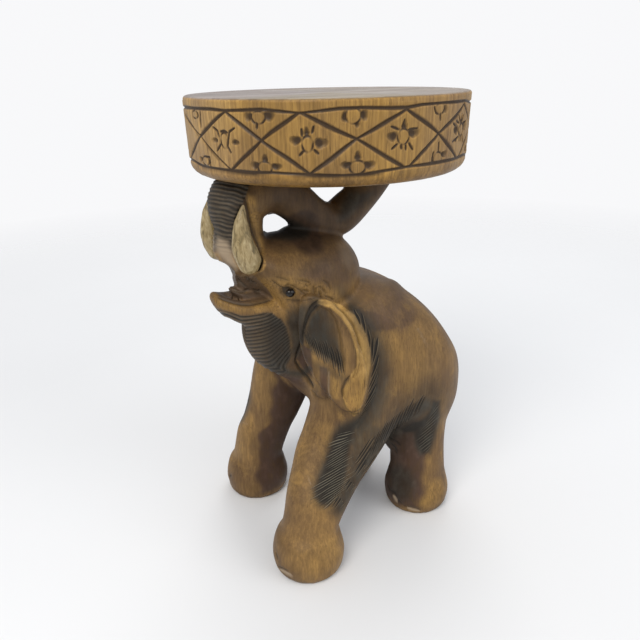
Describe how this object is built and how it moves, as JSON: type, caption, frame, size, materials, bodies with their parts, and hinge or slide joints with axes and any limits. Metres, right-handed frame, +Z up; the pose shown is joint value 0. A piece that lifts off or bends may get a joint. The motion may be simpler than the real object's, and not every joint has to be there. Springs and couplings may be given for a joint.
{
  "type": "carved elephant stool",
  "caption": "Low wooden stool: a carved elephant with raised trunk and open mouth carries a round seat with a diamond-and-flower band on its trunk",
  "frame": {"origin": "on the floor under the middle of the stool's length", "axes": "+Z up, -Y the way the elephant faces, +X the elephant's left"},
  "size_m": [0.2638, 0.2886, 0.46],
  "materials": {
    "seat_wood": "waxed satin, grey brown with dark stained grooves",
    "elephant_wood": "waxed satin, golden brown with dark stained cuts",
    "tusk_wood": "pale khaki, lightly waxed",
    "eye_bead": "glossy, nearly black",
    "dowel_wood": "plain, unfinished"
  },
  "bodies": {
    "root": {"seat": "seat_wood", "elephant": "elephant_wood", "tusk_left": "tusk_wood", "tusk_right": "tusk_wood", "eye_left": "eye_bead", "eye_right": "eye_bead", "seat_dowel_front": "dowel_wood", "seat_dowel_rear": "dowel_wood"}
  },
  "joints": []
}
